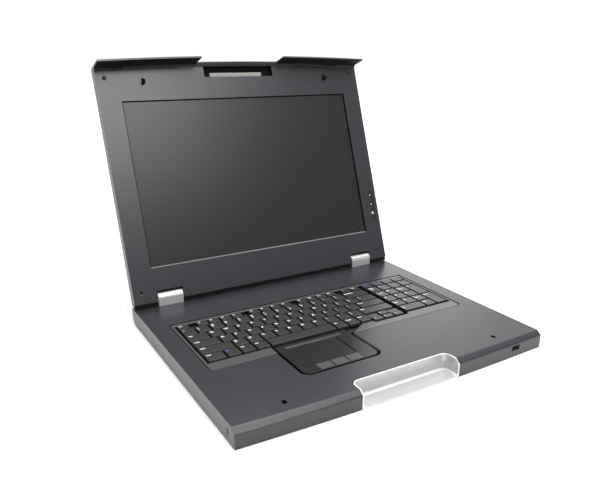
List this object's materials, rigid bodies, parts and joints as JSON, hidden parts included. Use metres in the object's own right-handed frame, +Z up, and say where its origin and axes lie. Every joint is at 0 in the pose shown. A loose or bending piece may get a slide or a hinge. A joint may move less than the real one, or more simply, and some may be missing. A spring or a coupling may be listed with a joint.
{
  "type": "rackmount lcd console drawer",
  "caption": "Shallow rack tray with a keyboard and touch pad, and a flat screen in a lid that folds down over them and latches.",
  "frame": {"origin": "middle of the tray's underside, between the front corners and the rear wall", "axes": "+X to the user's right, +Y to the rear, +Z up; the lid stands open at its working angle"},
  "size_m": [0.4302, 0.45, 0.3519],
  "materials": {
    "charcoal_paint": "fine satin powder coat",
    "light_grey_paint": "satin paint on folded steel",
    "silver_plastic": "satin silver",
    "key_plastic": "fine matt grain",
    "frame_plastic": "matt warm grey",
    "dark_plastic": "matt moulded",
    "pad_film": "fine textured film",
    "button_plastic": "satin",
    "bright_button": "satin silver",
    "lamp_plastic": "clear tinted",
    "steel": "zinc-plated",
    "socket_metal": "nickel-plated shell",
    "socket_plastic": "moulded black",
    "board_laminate": "solder resist",
    "membrane_film": "translucent sheet",
    "flat_lead": "flexible laminate",
    "panel": "switched-off liquid crystal panel",
    "screen_glass": "anti-glare front sheet"
  },
  "bodies": {
    "tray": {"top_cover": "charcoal_paint", "base_pan": "light_grey_paint", "handle_insert": "silver_plastic", "hinge_hood_left": "silver_plastic", "hinge_hood_right": "silver_plastic", "arrow_key_fillers": "key_plastic", "keyboard_frame": "frame_plastic", "touchpad_housing": "dark_plastic", "touch_surface": "pad_film", "keyboard_plate": "steel", "keyboard_rails": "steel", "hinge_bracket_left": "steel", "hinge_bracket_right": "steel", "hinge_pin_left": "steel", "hinge_pin_right": "steel", "cover_screws": "steel", "front_data_port": "socket_metal", "video_socket": "socket_metal", "data_socket": "socket_plastic", "power_inlet": "socket_plastic", "main_board": "board_laminate", "power_board": "board_laminate", "touchpad_board": "board_laminate", "keyboard_membrane": "membrane_film", "keyboard_lead": "flat_lead"},
    "lid": {"lid_shell": "light_grey_paint", "lid_bezel": "charcoal_paint", "screen_glass": "screen_glass", "screen_panel": "panel", "panel_rail_left": "steel", "panel_rail_right": "steel", "screen_driver_board": "board_laminate", "backlight_inverter": "board_laminate", "control_board": "board_laminate", "power_lamp": "lamp_plastic", "screen_lead": "flat_lead", "bezel_screws": "steel", "screw_plugs": "button_plastic", "finger_pocket": "dark_plastic", "hinge_leaf_left": "steel", "hinge_leaf_right": "steel"},
    "latch": {"latch_bar": "steel", "latch_hooks": "steel", "release_grip": "silver_plastic"},
    "function_keys": {"keys_function_row": "key_plastic"},
    "number_keys": {"keys_number_row": "key_plastic"},
    "upper_keys": {"keys_upper_row": "key_plastic"},
    "home_keys": {"keys_home_row": "key_plastic"},
    "lower_keys": {"keys_lower_row": "key_plastic"},
    "control_keys": {"keys_control_row": "key_plastic"},
    "space_key": {"space_bar": "key_plastic"},
    "return_key": {"enter_key": "key_plastic"},
    "cursor_keys": {"arrow_keys": "key_plastic"},
    "pad_keys": {"keys_number_pad": "key_plastic"},
    "touch_button_left": {"pad_button_left": "button_plastic"},
    "touch_button_middle": {"pad_button_middle": "button_plastic"},
    "touch_button_right": {"pad_button_right": "button_plastic"},
    "power_key": {"power_button": "bright_button"},
    "select_key": {"select_button": "button_plastic"},
    "menu_key": {"menu_button": "button_plastic"}
  },
  "joints": [
    {"name": "lid_hinge", "type": "hinge", "parent": "tray", "child": "lid", "pos_m": [0, 0.1574, 0.03035], "axis": [1, 0, 0], "range_deg": [-12, 109.9]},
    {"name": "latch_slide", "type": "slide", "parent": "lid", "child": "latch", "axis": [0, 0.3404, 0.9403], "range_m": [0, 0.0025]},
    {"name": "function_keys_press", "type": "slide", "parent": "tray", "child": "function_keys", "axis": [0, 0, -1], "range_m": [0, 0.0022], "stiffness_N_per_m": 4750, "springref_m": -0.001},
    {"name": "number_keys_press", "type": "slide", "parent": "tray", "child": "number_keys", "axis": [0, 0, -1], "range_m": [0, 0.0022], "stiffness_N_per_m": 3500, "springref_m": -0.001},
    {"name": "upper_keys_press", "type": "slide", "parent": "tray", "child": "upper_keys", "axis": [0, 0, -1], "range_m": [0, 0.0022], "stiffness_N_per_m": 3500, "springref_m": -0.001},
    {"name": "home_keys_press", "type": "slide", "parent": "tray", "child": "home_keys", "axis": [0, 0, -1], "range_m": [0, 0.0022], "stiffness_N_per_m": 3000, "springref_m": -0.001},
    {"name": "lower_keys_press", "type": "slide", "parent": "tray", "child": "lower_keys", "axis": [0, 0, -1], "range_m": [0, 0.0022], "stiffness_N_per_m": 3000, "springref_m": -0.001},
    {"name": "control_keys_press", "type": "slide", "parent": "tray", "child": "control_keys", "axis": [0, 0, -1], "range_m": [0, 0.0022], "stiffness_N_per_m": 1750, "springref_m": -0.001},
    {"name": "space_key_press", "type": "slide", "parent": "tray", "child": "space_key", "axis": [0, 0, -1], "range_m": [0, 0.0022], "stiffness_N_per_m": 250, "springref_m": -0.001},
    {"name": "return_key_press", "type": "slide", "parent": "tray", "child": "return_key", "axis": [0, 0, -1], "range_m": [0, 0.0022], "stiffness_N_per_m": 250, "springref_m": -0.001},
    {"name": "cursor_keys_press", "type": "slide", "parent": "tray", "child": "cursor_keys", "axis": [0, 0, -1], "range_m": [0, 0.0022], "stiffness_N_per_m": 1000, "springref_m": -0.001},
    {"name": "pad_keys_press", "type": "slide", "parent": "tray", "child": "pad_keys", "axis": [0, 0, -1], "range_m": [0, 0.0022], "stiffness_N_per_m": 4250, "springref_m": -0.001},
    {"name": "touch_button_left_press", "type": "slide", "parent": "tray", "child": "touch_button_left", "axis": [0, 0, -1], "range_m": [0, 0.0006], "stiffness_N_per_m": 1200, "springref_m": -0.0004},
    {"name": "touch_button_middle_press", "type": "slide", "parent": "tray", "child": "touch_button_middle", "axis": [0, 0, -1], "range_m": [0, 0.0006], "stiffness_N_per_m": 1200, "springref_m": -0.0004},
    {"name": "touch_button_right_press", "type": "slide", "parent": "tray", "child": "touch_button_right", "axis": [0, 0, -1], "range_m": [0, 0.0006], "stiffness_N_per_m": 1200, "springref_m": -0.0004},
    {"name": "power_key_press", "type": "slide", "parent": "lid", "child": "power_key", "axis": [0, 0.9403, -0.3404], "range_m": [0, 0.0005], "stiffness_N_per_m": 1500, "springref_m": -0.0004},
    {"name": "select_key_press", "type": "slide", "parent": "lid", "child": "select_key", "axis": [0, 0.9403, -0.3404], "range_m": [0, 0.0005], "stiffness_N_per_m": 1500, "springref_m": -0.0004},
    {"name": "menu_key_press", "type": "slide", "parent": "lid", "child": "menu_key", "axis": [0, 0.9403, -0.3404], "range_m": [0, 0.0005], "stiffness_N_per_m": 1500, "springref_m": -0.0004}
  ]
}
